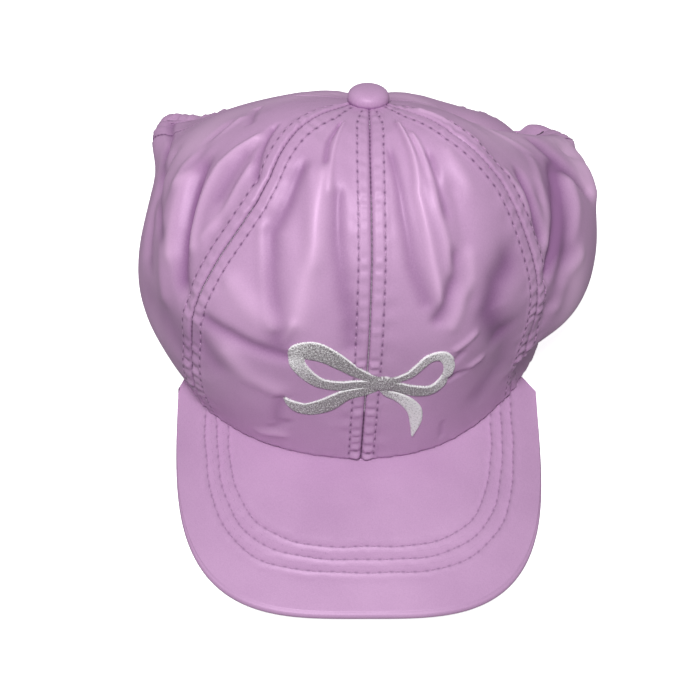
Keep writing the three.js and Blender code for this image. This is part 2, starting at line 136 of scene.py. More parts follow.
HALF_WIDTH = 86.0
CROWN_HEIGHT = 130.0
CLOTH_RUN = 190.0
WALL = 1.2
GAP = 0.3
HEM_LIFT, HEM_LIFT_POWER, HEM_REST_ANGLE = 15.5, 1.8, 37
CREST_FULLNESS = 1.15
BUTTON_DROP, BUTTON_BACK, BUTTON_TILT = 11.0, 26.0, 34.0
PANEL_TOP = 0.985
OPENING_HALF_ANGLE = 60.0
OPENING_CORNER, OPENING_TOP, OPENING_BOTTOM = 0.33, 0.72, 0.22
LEFT_SEAM, RIGHT_SEAM, BACK_SEAM = -48.0, 54.0, 115.0
LEVELS = np.array([0, 0.18, 0.39, 0.7, 1])
BACKS = np.array([0, 0.14, 0.42, 0.74, 1]) * BUTTON_BACK
# Rows every 30 degrees from the front to the back: hem out, belly out and up, shoulder out
# and up, crest out and up. Outs are shares of HALF_WIDTH, ups of CROWN_HEIGHT.
SECTIONS = np.array([
    [1.05, 1.01, 0.385, 0.98, 0.65, 0.58, 0.965],
    [1.05, 1.06, 0.365, 1.04, 0.63, 0.56, 0.98],
    [1.015, 1.09, 0.32, 1.05, 0.62, 0.54, 0.96],
    [1.01, 1.18, 0.29, 1.09, 0.6, 0.52, 0.905],
    [1.03, 1.15, 0.35, 1.13, 0.49, 0.49, 0.815],
    [1.0, 1.04, 0.295, 0.88, 0.39, 0.44, 0.75],
    [0.93, 0.95, 0.245, 0.72, 0.42, 0.38, 0.72],
])
# Rows: from degrees and share to degrees and share, then spread and depth as shares of
# HALF_WIDTH.
FOLDS = np.array([
    [45, 0.15, 45, 0.15, 0.4, -0.055],
    [-45, 0.15, -45, 0.15, 0.4, 0.06],
    [45, 0.35, 45, 0.35, 0.4, -0.03],
    [-45, 0.35, -45, 0.35, 0.4, 0.04],
    [45, 0.65, 45, 0.65, 0.4, 0.065],
    [75, 0.15, 75, 0.15, 0.4, 0.055],
    [-75, 0.15, -75, 0.15, 0.4, 0.05],
    [75, 0.35, 75, 0.35, 0.4, 0.015],
    [-75, 0.35, -75, 0.35, 0.4, -0.025],
    [105, 0.15, 105, 0.15, 0.4, 0.03],
    [-105, 0.15, -105, 0.15, 0.4, -0.05],
    [105, 0.35, 105, 0.35, 0.4, 0.08],
    [-105, 0.35, -105, 0.35, 0.4, -0.035],
    [105, 0.65, 105, 0.65, 0.4, -0.065],
    [121, 0.33, 121, 0.33, 0.175, 0.1],
    [-121, 0.33, -121, 0.33, 0.175, 0.16],
    [-78, 0.55, -53, 0.36, 0.055, -0.022],
    [-83, 0.5, -62, 0.3, 0.055, 0.02],
    [-100, 0.46, -78, 0.3, 0.05, -0.02],
    [-66, 0.66, -55, 0.52, 0.05, -0.014],
    [71, 0.5, 59, 0.38, 0.05, -0.018],
    [86, 0.48, 66, 0.34, 0.055, -0.018],
    [59, 0.28, 55, 0.22, 0.055, -0.014],
    [-30, 0.7, -18, 0.54, 0.05, 0.012],
    [25, 0.84, 20, 0.46, 0.05, 0.014],
    [33, 0.64, 30, 0.46, 0.055, -0.016],
    [112, 0.66, 118, 0.46, 0.12, -0.07],
    [140, 0.46, 124, 0.42, 0.1, -0.06],
    [136, 0.43, 121, 0.39, 0.08, -0.08],
    [115, 0.34, 115, 0.34, 0.035, 0.03],
    [84, 0.09, 60, 0.09, 0.13, -0.085],
    [129, 0.31, 122, 0.32, 0.06, -0.04],
    [104, 0.42, 114, 0.355, 0.065, -0.04],
])
# Creases of the loose cloth: places along each one as degrees and share by turns, then its
# spread and depth as shares of HALF_WIDTH.
CREASES = [
    # left side
    ([-99, 0.68, -84, 0.67], 0.023, -0.013),
    ([-93, 0.61, -87, 0.56, -82, 0.51], 0.041, -0.016),
    ([-79, 0.54, -71, 0.50, -65, 0.46, -61, 0.41, -57, 0.37], 0.044, -0.028),
    ([-69, 0.67, -71, 0.62, -71, 0.58, -66, 0.52, -61, 0.47, -58, 0.45], 0.033, 0.017),
    ([-67, 0.63, -64, 0.59, -61, 0.55], 0.041, -0.014),
    ([-58, 0.63, -55, 0.54, -56, 0.48], 0.029, 0.012),
    ([-68, 0.72, -61, 0.67, -56, 0.64, -51, 0.62], 0.028, -0.019),
    ([-79, 0.51, -72, 0.45, -65, 0.39], 0.052, 0.021),
    ([-92, 0.64, -88, 0.58, -85, 0.52, -80, 0.48], 0.035, 0.012),
    ([-107, 0.41, -89, 0.40, -72, 0.39], 0.041, -0.019),
    ([-81, 0.34, -74, 0.30], 0.047, -0.012),
    # left of the front seam
    ([-31, 0.85, -30, 0.79, -26, 0.74], 0.026, -0.017),
    ([-28, 0.86, -24, 0.77, -19, 0.68], 0.021, 0.009),
    ([-15, 0.67, -12, 0.58, -9, 0.51, -6, 0.44, -5, 0.37], 0.047, -0.017),
    ([-24, 0.70, -19, 0.57, -20, 0.50, -20, 0.42], 0.052, 0.017),
    ([-36, 0.69, -34, 0.62, -35, 0.56, -32, 0.52, -29, 0.47, -26, 0.42, -24, 0.37], 0.058, -0.021),
    ([-39, 0.56, -34, 0.51, -31, 0.47, -26, 0.40], 0.026, 0.012),
    ([-40, 0.45, -33, 0.43, -27, 0.41], 0.058, 0.014),
    ([-44, 0.35, -36, 0.35, -28, 0.34, -22, 0.33], 0.035, -0.021),
    ([-45, 0.29, -40, 0.25], 0.070, -0.014),
    ([-36, 0.30, -31, 0.25, -24, 0.22], 0.058, 0.014),
    ([-21, 0.42, -23, 0.37], 0.019, 0.010),
    ([-23, 0.19, -24, 0.11], 0.029, -0.012),
    ([-28, 0.05, -22, 0.06], 0.028, 0.009),
    ([-25, 0.08, -21, 0.11], 0.021, -0.009),
    # right of the front seam
    ([26, 0.85, 23, 0.75, 19, 0.67, 19, 0.59, 19, 0.54, 20, 0.47], 0.030, 0.017),
    ([30, 0.80, 28, 0.73, 27, 0.68, 25, 0.63, 25, 0.56, 25, 0.52], 0.030, 0.015),
    ([31, 0.73, 28, 0.67, 28, 0.62], 0.035, -0.015),
    ([12, 0.78, 12, 0.64, 13, 0.54, 16, 0.47], 0.041, -0.016),
    ([27, 0.54, 25, 0.50, 22, 0.47, 19, 0.43], 0.033, -0.021),
    ([32, 0.53, 31, 0.49, 27, 0.46, 23, 0.41], 0.035, 0.013),
    ([44, 0.48, 39, 0.46, 35, 0.41, 39, 0.32], 0.076, -0.028),
    ([40, 0.71, 39, 0.65], 0.058, 0.009),
    ([30, 0.37, 24, 0.34], 0.021, 0.012),
    ([28, 0.25, 23, 0.24], 0.021, -0.016),
    ([26, 0.32, 24, 0.30], 0.019, -0.010),
    ([33, 0.27, 27, 0.25], 0.023, 0.012),
    ([43, 0.31, 43, 0.19, 36, 0.12], 0.081, -0.014),
    ([23, 0.08, 23, 0.04], 0.017, -0.008),
    # right side
    ([62, 0.60, 62, 0.57, 61, 0.52], 0.028, 0.012),
    ([69, 0.57, 63, 0.51, 61, 0.47], 0.035, -0.027),
    ([85, 0.54, 76, 0.52, 68, 0.47, 63, 0.44], 0.035, 0.013),
    ([90, 0.48, 77, 0.46, 69, 0.43, 61, 0.39], 0.042, -0.034),
    ([87, 0.44, 82, 0.41, 74, 0.38], 0.041, 0.013),
    ([74, 0.33, 67, 0.33, 63, 0.27], 0.052, 0.017),
    ([60, 0.85, 60, 0.76, 61, 0.69], 0.047, 0.012),
    ([101, 0.52, 96, 0.50, 92, 0.46, 91, 0.42, 92, 0.37], 0.036, -0.026),
    # corners beside the opening
    ([-122, 0.38, -112, 0.42, -104, 0.42], 0.023, -0.019),
    ([-69, 0.23, -60, 0.25, -52, 0.24], 0.105, -0.016),
    ([112, 0.37, 101, 0.39, 96, 0.34], 0.06, 0.024),
    ([94, 0.66, 91, 0.60, 89, 0.55], 0.047, 0.009),
    ([86, 0.53, 77, 0.48, 70, 0.40, 64, 0.30], 0.1, -0.018),
]
# Broad changes of tone alone, given in the same way: paler where light comes through the
# single cloth or is caught by it, and deeper where the cloth turns away from the light
TONES = [
    ([107, 0.43, 97, 0.38], 0.09, 0.05),
    ([72, 0.29, 70, 0.17], 0.1, 0.03),
    ([80, 0.46, 70, 0.38], 0.09, -0.012),
    ([150, 0.9, 110, 0.78, 112, 0.6, 98, 0.58, 75, 0.68], 0.14, 0.016),
    ([-150, 0.9, -105, 0.75, -105, 0.6, -95, 0.52], 0.16, 0.018),
    ([-76, 0.48, -68, 0.42], 0.08, -0.008),
    ([-70, 0.26, -66, 0.18], 0.12, 0.01),
]

# Degrees by which each seam strays from its meridian, at shares up the cloth
SEAM_BENDS = {
    LEFT_SEAM: (
        [0, 0.35, 0.48, 0.54, 0.59, 0.64, 0.69, 0.77, 0.86, 1],
        [0, -0.8, 0.6, 1.9, 2.6, 1.4, -2, -6.5, -9, -9],
    ),
    0.0: ([0, 0.55, 0.7, 0.8, 0.9, 1], [-0.3, 0, -0.8, -1.2, -0.9, 0]),
    RIGHT_SEAM: (
        [0, 0.1, 0.18, 0.26, 0.5, 0.6, 0.67, 0.74, 0.82, 0.9, 1],
        [0, -1, -0.8, 0, 0.8, 1.8, 0, -2.2, -1, -2, -3],
    ),
}
BEND_REACH = 20


def around(values, deg):
    """A closed cubic through the seven sections and their mirror: each stretch runs between
    two values, and its slope at either is half the rise between that one's neighbours."""
    ring = np.concatenate([values, values[-2:0:-1]])
    place = (deg % 360) / 30
    first = np.floor(place).astype(int)
    f = place - first
    a, b, c, d = (ring[(first + i) % len(ring)] for i in (-1, 0, 1, 2))
    return b + 0.5 * f * (c - a + f * (2 * a - 5 * b + 4 * c - d + f * (3 * (b - c) + d - a)))


def through_levels(values, share, last_slope=None):
    """A smooth curve up the cloth: cubics through one value per level, with slopes weighted
    from the rises on both sides."""
    steps = np.diff(LEVELS)
    rises = [(values[i + 1] - values[i]) / steps[i] for i in range(4)]
    slopes = [rises[0]]
    for i in (1, 2, 3):
        slopes.append((rises[i - 1] * steps[i] + rises[i] * steps[i - 1]) / (steps[i - 1] + steps[i]))
    slopes.append(rises[3] if last_slope is None else last_slope)
    result = 0
    for i in range(4):
        inside = (share >= LEVELS[i]) & (share < LEVELS[i + 1]) if i < 3 else share >= LEVELS[i]
        f = (share - LEVELS[i]) / steps[i]
        piece = (1 + 2 * f) * (1 - f) ** 2 * values[i] + f * (1 - f) ** 2 * slopes[i] * steps[i]
        piece = piece + f * f * (3 - 2 * f) * values[i + 1] + f * f * (f - 1) * slopes[i + 1] * steps[i]
        result = np.where(inside, piece, result)
    return result


def hem_height(deg):
    """The hem lies flat at the back and rises by a power of the cosine to the front."""
    rest = math.cos(math.radians(HEM_REST_ANGLE))
    return HEM_LIFT * np.clip((np.cos(np.radians(deg)) + rest) / (1 + rest), 0, 1) ** HEM_LIFT_POWER


def form(deg, share):
    """The crown without folds: out from an axis that leans back as share goes from 0 at the
    hem to 1 at the button, by the sections' outs and ups at that angle."""
    deg, share = np.broadcast_arrays(np.asarray(deg, float), np.asarray(share, float))
    turn = np.radians(deg)
    outs = [around(SECTIONS[:, c], deg) * HALF_WIDTH for c in (0, 1, 3, 5)] + [0 * deg]
    ups = [around(SECTIONS[:, c], deg) * CROWN_HEIGHT for c in (2, 4, 6)]
    ups = [hem_height(deg)] + ups + [0 * deg + CROWN_HEIGHT - BUTTON_DROP]
    inward = -outs[3] / (LEVELS[4] - LEVELS[3]) * CREST_FULLNESS
    out = through_levels(outs, share, inward)
    rise = through_levels(ups, share, inward * np.cos(turn) * math.tan(math.radians(BUTTON_TILT)))
    centre = through_levels([b + 0 * deg for b in BACKS], share)
    return np.stack([out * np.sin(turn), centre - out * np.cos(turn), rise], -1)


def unit(vectors):
    """The vectors with a length of one."""
    return vectors / np.linalg.norm(vectors, axis=-1, keepdims=True)


def normal_of(shape, deg, share):
    """Outward unit normal: the cross product of small steps round the crown and up the cloth."""
    at = np.clip(share, 0, 0.992)
    across = shape(deg + 0.5, at) - shape(deg - 0.5, at)
    rise = shape(deg, at + 0.004) - shape(deg, np.maximum(at - 0.004, 0))
    return unit(np.cross(across, rise))


def apart_squared(deg, share, from_deg, from_share, to_deg, to_share):
    """Square of the distance over the flat cloth to a straight line between two places."""
    x = np.radians((deg - from_deg + 180) % 360 - 180) * HALF_WIDTH
    y = (share - from_share) * CLOTH_RUN
    run_x = math.radians(to_deg - from_deg) * HALF_WIDTH
    run_y = (to_share - from_share) * CLOTH_RUN
    length = run_x * run_x + run_y * run_y
    along = np.clip((x * run_x + y * run_y) / length, 0, 1) if length > 0 else 0
    return (x - along * run_x) ** 2 + (y - along * run_y) ** 2


def bell(distance, width):
    """exp(-(distance / width)²)"""
    return np.exp(-((distance / width) ** 2))


def fold_depth(deg, share):
    """The sum of all folds, each a bell across its line."""
    depth = 0
    for *line, spread, deep in FOLDS:
        reach = np.exp(-apart_squared(deg, share, *line) / (spread * HALF_WIDTH) ** 2)
        depth = depth + deep * HALF_WIDTH * reach
    return depth


def crease_depth(deg, share, creases=CREASES):
    """The sum of all creases, each a bell across its bent line."""
    depth = 0
    for line, spread, deep in creases:
        parts = [apart_squared(deg, share, *line[i : i + 4]) for i in range(0, len(line) - 2, 2)]
        reach = np.exp(-np.minimum.reduce(parts) / (spread * HALF_WIDTH) ** 2)
        depth = depth + deep * HALF_WIDTH * reach
    return depth


def bent(deg, share):
    """Degrees after the seams' bends, which die out in a bell to either side."""
    for seam, (shares, bends) in SEAM_BENDS.items():
        apart = (deg - seam + 180) % 360 - 180
        deg = deg + np.interp(share, shares, bends) * bell(apart, BEND_REACH)
    return deg


def crown(deg, share):
    """The crown's outer face: the form pushed along its normal by the folds and creases."""
    deg, share = np.broadcast_arrays(np.asarray(deg, float), np.asarray(share, float))
    deg = bent(deg, share)
    depth = fold_depth(deg, share) + crease_depth(deg, share)
    return form(deg, share) + depth[..., None] * normal_of(form, deg, share)


def raised(deg, share, height):
    """A place lifted off the crown's outer face along its normal, which is level at the hem."""
    turn = np.radians(deg)
    level = np.stack([np.sin(turn), -np.cos(turn), 0 * turn], -1)
    normal = np.where((share > 0)[..., None], normal_of(crown, deg, share), level)
    return crown(deg, share) + normal * np.asarray(height)[..., None]


def radius_at(deg, share):
    """Distance from the crown's leaning axis."""
    point = form(deg, share)
    centre = through_levels(list(BACKS), share)
    return np.hypot(point[..., 0], point[..., 1] - centre)


def grid_normals(points):
    """Unit normals of a grid of points: the cross product of its two differences."""
    normal = np.cross(np.gradient(points, axis=0), np.gradient(points, axis=1))
    return normal / np.maximum(np.linalg.norm(normal, axis=-1, keepdims=True), 1e-9)


def smooth_step(value, low, high):
    """0 below low, 1 above high, and the cubic 3f² - 2f³ between."""
    f = np.clip((value - low) / (high - low), 0, 1)
    return f * f * (3 - 2 * f)


def wander(value, seed):
    """A slow irregular wave between about -1 and 1: three sines of unlike pitch."""
    return (np.sin(value + seed) + np.sin(1.7 * value + 2.3 * seed) + np.sin(2.9 * value + 4.1 * seed)) / 2.2


def surface(name, grids, paint, nodes=(), flip=False):
    """A smooth mesh object from grids of points in millimetres, each with its maps of two
    numbers per point. Points that lie together are joined."""
    places, faces, maps, first = [], [], {}, 0
    for points, layers in grids:
        n, m = points.shape[:2]
        index = first + np.arange(n * m).reshape(n, m)
        corners = [index[:-1, :-1], index[1:, :-1], index[1:, 1:], index[:-1, 1:]]
        quads = np.stack(corners, -1).reshape(-1, 4)
        faces.append(quads[:, ::-1] if flip else quads)
        places.append(points.reshape(-1, 3))
        for layer, values in layers.items():
            maps.setdefault(layer, []).append(values.reshape(-1, 2))
        first += n * m
    faces = np.concatenate(faces)
    mesh = bpy.data.meshes.new(name)
    mesh.from_pydata(((np.concatenate(places) + MIDDLE) * MM).tolist(), [], faces.tolist())
    for layer, values in maps.items():
        uv = mesh.uv_layers.new(name=layer)
        uv.data.foreach_set("uv", np.concatenate(values)[faces.ravel()].astype(np.float32).ravel())
    edit = bmesh.new()
    edit.from_mesh(mesh)
    bmesh.ops.remove_doubles(edit, verts=edit.verts, dist=2e-6)
    edit.to_mesh(mesh)
    edit.free()
    mesh.polygons.foreach_set("use_smooth", np.ones(len(mesh.polygons), bool))
    mesh.materials.append(paint)
    made = bpy.data.objects.new(name, mesh)
    bpy.context.collection.objects.link(made)
    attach(made, "root")
    if nodes:
        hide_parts(*nodes)
    return made


class Value:
    """An output socket of a shader, with sums written as on numbers."""

    def __init__(self, socket):
        self.socket = socket

    def node(self, kind, inputs=None, out=0, **settings):
        """One output of a new node, made with its settings and the values of its inputs."""
        made = self.socket.id_data.nodes.new("ShaderNode" + kind)
        for setting, value in settings.items():
            setattr(made, setting, value)
        for place, value in (inputs or {}).items():
            if isinstance(value, Value):
                self.socket.id_data.links.new(value.socket, made.inputs[place])
            else:
                made.inputs[place].default_value = value
        return Value(made.outputs[out])

    def sum(self, operation, *values):
        return self.node("Math", dict(enumerate(values)), operation=operation)

    def __add__(self, other):
        return self.sum("ADD", self, other)

    def __sub__(self, other):
        return self.sum("SUBTRACT", self, other)

    def __rsub__(self, other):
        return self.sum("SUBTRACT", other, self)

    def __mul__(self, other):
        return self.sum("MULTIPLY", self, other)

    def __truediv__(self, other):
        return self.sum("DIVIDE", self, other)

    __radd__ = __add__
    __rmul__ = __mul__

    def uv(self, layer):
        """The two numbers that one of the piece's maps holds."""
        both = self.node("UVMap", uv_map=layer)
        return [both.node("SeparateXYZ", {0: both}, out=axis) for axis in (0, 1)]

    def bell(self, width):
        """exp(-(x / width)²)"""
        return self.sum("EXPONENT", 0 - (self / width) * (self / width))

    def wave(self, pitch):
        """Half of 1 + cos(2 pi x / pitch)"""
        return self.sum("COSINE", self * (2 * math.pi / pitch)) * 0.5 + 0.5

    def noise(self, scale, detail=2.0):
        """Noise of that many patches per unit, mostly between 0.3 and 0.7."""
        return self.node("TexNoise", {"Vector": self, "Scale": scale, "Detail": detail})

    def mix(self, low, high):
        """The colour low where this is 0 and high where it is 1."""
        return self.node("Mix", {0: self, 6: low, 7: high}, out=2, data_type="RGBA")


def new_material(name, **constants):
    """A material whose constant inputs are set, and a value to start its sums from."""
    made = bpy.data.materials.new(name)
    made.use_nodes = True
    shader = made.node_tree.nodes["Principled BSDF"]
    for socket, value in constants.items():
        shader.inputs[socket.replace("_", " ")].default_value = value
    start = Value(made.node_tree.nodes.new("ShaderNodeTexCoord").outputs["Object"])
    return made, start


def finish_material(made, color=None, roughness=None, height=None, distance=0.0001, strength=1.0):
    """Links what varies to the material's shader, the height through a bump."""
    links = made.node_tree.links
    shader = made.node_tree.nodes["Principled BSDF"]
    if color:
        links.new(color.socket, shader.inputs["Base Color"])
    if roughness:
        links.new(roughness.socket, shader.inputs["Roughness"])
    if height:
        bump = height.node("Bump", {"Height": height, "Distance": distance, "Strength": strength})
        links.new(bump.socket, shader.inputs["Normal"])
    return made


# Ends of the satin's colour, between which random tone, painted shade in creases and painted highlight on
# crests move it, then the colour of the painted shade in seams and at needle holes
SATIN_LIGHT = (0.72, 0.455, 0.7, 1)
SATIN_DEEP = (0.28, 0.135, 0.29, 1)
PAINTED_SHADE_COLOR = (0.1, 0.035, 0.11, 1)
CREASE_SHADE_AND_HIGHLIGHT = 0.21  # painted shade in a crease and painted highlight on a crest: change of tone for each millimetre of its depth
LADDER_PITCH = 2.4
STITCH_PITCH = 4.5


def satin_material(name, stitched=0.85, creased=False):
    """Satin: a fine twill, faint slubs of uneven thread, slow blotches of tone and gloss, and
    where stitched isn't 0 painted shade that dark at the needle hole at either end of each
    topstitch. A creased cloth has painted shade deepening its colour down in a crease and
    painted highlight paling it along a crest, and painted shade down in a seam's groove,
    broken where the threads cross it like the rungs of a ladder."""
    made, start = new_material(
        name, Sheen_Weight=0.1, Sheen_Roughness=0.4, Specular_IOR_Level=0.55, Anisotropic=0.3
    )
    shader = made.node_tree.nodes["Principled BSDF"]
    shader.inputs["Sheen Tint"].default_value = (0.75, 0.42, 0.74, 1)
    shader.inputs["Specular Tint"].default_value = (0.95, 0.7, 0.95, 1)
    across, rise = start.uv("cloth")
    slubs = start.node("CombineXYZ", {0: across * 2.6, 1: rise * 0.9}).noise(1.0, 3.0)
    blotches = start.noise(30.0, 2.0)
    twill = (across + rise * 0.6).wave(0.5) * 0.6 + (rise - across * 0.3).wave(0.8) * 0.4
    grain = start.noise(1600.0, 2.0)
    tone = (slubs - 0.5) * 0.16 + (blotches - 0.5) * 0.3 + (grain - 0.5) * 0.22 + 0.53
    marks = []
    if creased:
        # Painted shade and highlight: colour deeper down in a crease and paler along a crest, and painted
        # shade in the seam's groove
        depth, seam = start.uv("relief")
        tone = tone + depth * CREASE_SHADE_AND_HIGHLIGHT
        marks.append(seam * (rise.wave(LADDER_PITCH) * 0.5 + 0.5))
    # Painted shade at the needle hole at either end of each topstitch
    if stitched:
        beside, phase = start.uv("stitch")
        from_hole = phase.sum("PINGPONG", phase, 0.5) * STITCH_PITCH
        marks.append(beside.bell(0.5) * from_hole.bell(0.95) * stitched)
    color = tone.mix(SATIN_DEEP, SATIN_LIGHT)
    return finish_material(
        made,
        color=sum(marks).mix(color, PAINTED_SHADE_COLOR) if marks else color,
        roughness=slubs * 0.06 + blotches * 0.14 + 0.34,
        height=twill * 0.3 + slubs * 0.5 + blotches * 0.6 + grain * 0.5,
        distance=0.0001,
        strength=0.5,
    )


def full_range(value):
    """A value's range from 0.25 to 0.7, where noise mostly lies, stretched from 0 to 1."""
    return value.node("MapRange", {0: value, 1: 0.25, 2: 0.7, 3: 0.0, 4: 1.0})


panel_satin = satin_material("satin_panels", creased=True)
STITCH_OFFSET = 5.4
NARROW_RADIUS = 22
FAR = 99.0  # further from a row of stitches than its marks reach


def row_offset(seam, share):
    """How far a row of topstitches runs from its seam: less where the crown narrows."""
    return STITCH_OFFSET * np.clip(radius_at(seam, share) / NARROW_RADIUS, 0, 1)


def length_along(points):
    """The length of a line of points from its first one to each of them."""
    return np.concatenate([[0], np.cumsum(np.linalg.norm(np.diff(points, axis=0), axis=-1))])


def seam_row(seam, side, share):
    """Angles of the row of topstitches beside a seam, and the cloth's length up to there."""
    deg = seam + side * np.degrees(row_offset(seam, share) / radius_at(seam, share))
    return deg, length_along(crown(deg, share))


ROW_SHARES = np.linspace(0, PANEL_TOP, 240)
# Depth and reach of the relief beside a seam: the groove at it, the rise of the doubled
# allowance, the dents along a row of stitches and at its needle holes, the rungs between the
# seam and the row, which are higher low down, and the puckers outside the row
GROOVE_DEPTH, GROOVE_REACH = 0.7, 0.5
PRESSED_DEPTH, PRESSED_REACH = 0.35, 0.6
ALLOWANCE_RISE = 0.5
ROW_DEPTH, ROW_REACH = 0.3, 0.6
HOLE_DEPTH, HOLE_REACH = 0.26, 0.7
RUNG_RISE, LOW_RUNG_RISE = 0.22, 0.3
PUCKER_RISE, PUCKER_REACH = 0.16, 5
# Where on the front seam the bow lies, how far that reaches and how much it flattens there
BOW_PRESS_UP, BOW_PRESS_REACH, BOW_PRESS = 47.5, 6.5, 0.85


def seam_relief(deg, share, seam, side):
    """Height of the cloth beside a seam, from its turned-in edge over the doubled allowance
    to the groove of the stitches with a dent at each needle hole, and puckers across both.
    The two seams beside the opening are pressed flat and have no topstitches, and the front
    seam's allowances are squeezed flat under the bow."""
    apart = np.abs(deg - seam) * np.radians(1) * radius_at(seam, share)
    offset = row_offset(seam, share)
    size = offset / STITCH_OFFSET
    beside = apart - offset
    phase = np.interp(share, ROW_SHARES, seam_row(seam, side, ROW_SHARES)[1]) / STITCH_PITCH
    if abs(seam) == BACK_SEAM:
        return -PRESSED_DEPTH * bell(apart, PRESSED_REACH), beside + FAR, phase
    low = 1 - smooth_step(share, 0.2, 0.45)
    height = -GROOVE_DEPTH * bell(apart, GROOVE_REACH)
    height += ALLOWANCE_RISE * smooth_step(apart, 0.4, 1.7) * (1 - smooth_step(beside, 0.2, 1.8))
    height -= ROW_DEPTH * bell(beside, ROW_REACH)
    height -= HOLE_DEPTH * bell(beside, HOLE_REACH) * np.cos(np.pi * phase) ** 6
    rungs = np.sin(2 * np.pi * phase * 0.8 + 1.6 * wander(phase * 0.45, side))
    rungs = rungs * (1 + wander(phase * 0.7, seam)) * np.sin(np.pi * np.clip(apart / offset, 0, 1))
    height += (RUNG_RISE + LOW_RUNG_RISE * low) * rungs
    puckers = np.cos(2 * np.pi * phase * 0.4 + wander(phase * 0.3, seam + side))
    puckers = puckers * (1 + wander(phase * 0.4, side)) * smooth_step(beside, 0, 1.5)
    height += PUCKER_RISE * puckers * np.exp(-((np.maximum(beside, 0) / PUCKER_REACH) ** 2))
    if seam == 0:
        from_bow = np.abs(share * CLOTH_RUN - BOW_PRESS_UP)
        size = size * (1 - BOW_PRESS * np.exp(-((from_bow / BOW_PRESS_REACH) ** 4)))
    return height * size, beside, phase


# Distances from a seam at which points lie close together, and their spacing beyond
NEAR_COLUMNS = np.array([0, 0.35, 0.7, 1.1, 1.6, 2.3, 3.2, 4, 4.6, 5, 5.4, 5.8, 6.3, 7, 7.9, 9])
PANEL_CELL = 1.25


def panel_columns(width):
    """Places across a panel from 0 to 1: close beside both seams, wider between."""
    near = NEAR_COLUMNS / width
    cells = max(int((width - 2 * NEAR_COLUMNS[-1]) / PANEL_CELL), 4)
    middle = np.linspace(near[-1], 1 - near[-1], cells)
    return np.concatenate([near[:-1], middle, 1 - near[-2::-1]])


HEM_ROWS = np.array([0, 0.3, 0.6, 1, 1.5, 2.1, 2.9, 3.8]) / CLOTH_RUN
EDGE_INSET = 0.04  # half the gap between two panels
# Depth and reach of the hem's roll, its waves, the cloth's slack, and the rim's gathers and tuck
HEM_ROLL, HEM_ROLL_REACH = 0.75, 0.9
HEM_WAVE, HEM_WAVE_REACH = 0.22, 6
SLACK = 0.16
GATHER_RISE, GATHER_REACH = 0.45, 9
TUCK_DEPTH, TUCK_REACH = 0.5, 1.2
# Strength and reach of the painted shade along each seam's groove
SEAM_PAINTED_SHADE, SEAM_PAINTED_SHADE_REACH = 0.85, 0.42


def panel_grid(from_deg, to_deg, shares_at, rim=None):
    """A panel's grid: columns at set angles between two seams, rows of shares that may
    differ by column, lifted by the seams' relief, the hem's roll and the rim's gathers."""
    width = math.radians(to_deg - from_deg) * HALF_WIDTH
    place = panel_columns(width)
    inset = math.degrees(EDGE_INSET / HALF_WIDTH)
    column = from_deg + inset + place * (to_deg - from_deg - 2 * inset)
    share = shares_at(column)
    deg = np.broadcast_to(column[:, None], share.shape)
    left_relief, left_beside, left_phase = seam_relief(deg, share, from_deg, 1)
    right_relief, right_beside, right_phase = seam_relief(deg, share, to_deg, -1)
    up_hem = share * CLOTH_RUN
    height = left_relief + right_relief - HEM_ROLL * bell(up_hem, HEM_ROLL_REACH)
    height = height + HEM_WAVE * wander(deg * 0.9, 1) * bell(up_hem, HEM_WAVE_REACH)
    slack = wander(deg * 0.21 + wander(up_hem * 0.05, 4), 2) * wander(up_hem * 0.08 + deg * 0.05, 3)
    height = height + SLACK * slack
    if rim is not None:
        from_rim = np.abs(share - rim(column)[:, None]) * CLOTH_RUN
        gathers = wander(deg * 1.15, 2) + 0.6 * wander(deg * 2.6, 5)
        near_corner = 1 - 0.93 * smooth_step(share, 0.38, 0.5)
        gathers = gathers * near_corner * bell(from_rim, GATHER_REACH)
        height = height + GATHER_RISE * gathers - TUCK_DEPTH * bell(from_rim, TUCK_REACH)
    base = crown(deg, share)
    points = base + grid_normals(base) * height[..., None]
    nearer = np.abs(left_beside) < np.abs(right_beside)
    beside = np.where(nearer, left_beside, right_beside)
    stitch = np.stack([beside, np.where(nearer, left_phase, right_phase)], -1)
    cloth = np.stack([np.radians(deg) * HALF_WIDTH, up_hem], -1)
    from_seam = np.radians(np.minimum(deg - from_deg, to_deg - deg)) * radius_at(deg, share)
    # Painted shade and painted highlight for the colour: the creases' depth and the broad tones, and the
    # painted shade down each seam's groove
    painted_light_depth = crease_depth(bent(deg, share), share) + crease_depth(deg, share, TONES)
    painted_seam_shade = SEAM_PAINTED_SHADE * bell(from_seam, SEAM_PAINTED_SHADE_REACH)
    relief = np.stack([painted_light_depth, painted_seam_shade], -1)
    return points, {"cloth": cloth, "stitch": stitch, "relief": relief}


def rim_top(deg):
    """Share of the upper rim of the opening, half an ellipse between its corners."""
    reach = np.clip((180 - np.abs(deg)) / OPENING_HALF_ANGLE, 0, 1)
    return OPENING_CORNER + (OPENING_TOP - OPENING_CORNER) * np.sqrt(1 - reach**2)


def rim_bottom(deg):
    """Share of the lower rim of the opening."""
    reach = np.clip((180 - np.abs(deg)) / OPENING_HALF_ANGLE, 0, 1)
    return OPENING_CORNER + (OPENING_BOTTOM - OPENING_CORNER) * np.sqrt(1 - reach**2)


def closed_shares(deg):
    """Rows from the hem to the button, close together at the hem."""
    rows = np.concatenate([HEM_ROWS, np.linspace(0.027, PANEL_TOP, 150)])
    return np.broadcast_to(rows, (len(deg), len(rows)))


def lower_shares(deg):
    """Rows from the hem to the opening's lower rim."""
    rows = np.concatenate([HEM_ROWS / OPENING_CORNER, np.linspace(0.085, 1, 44)])
    return rows * rim_bottom(deg)[:, None]


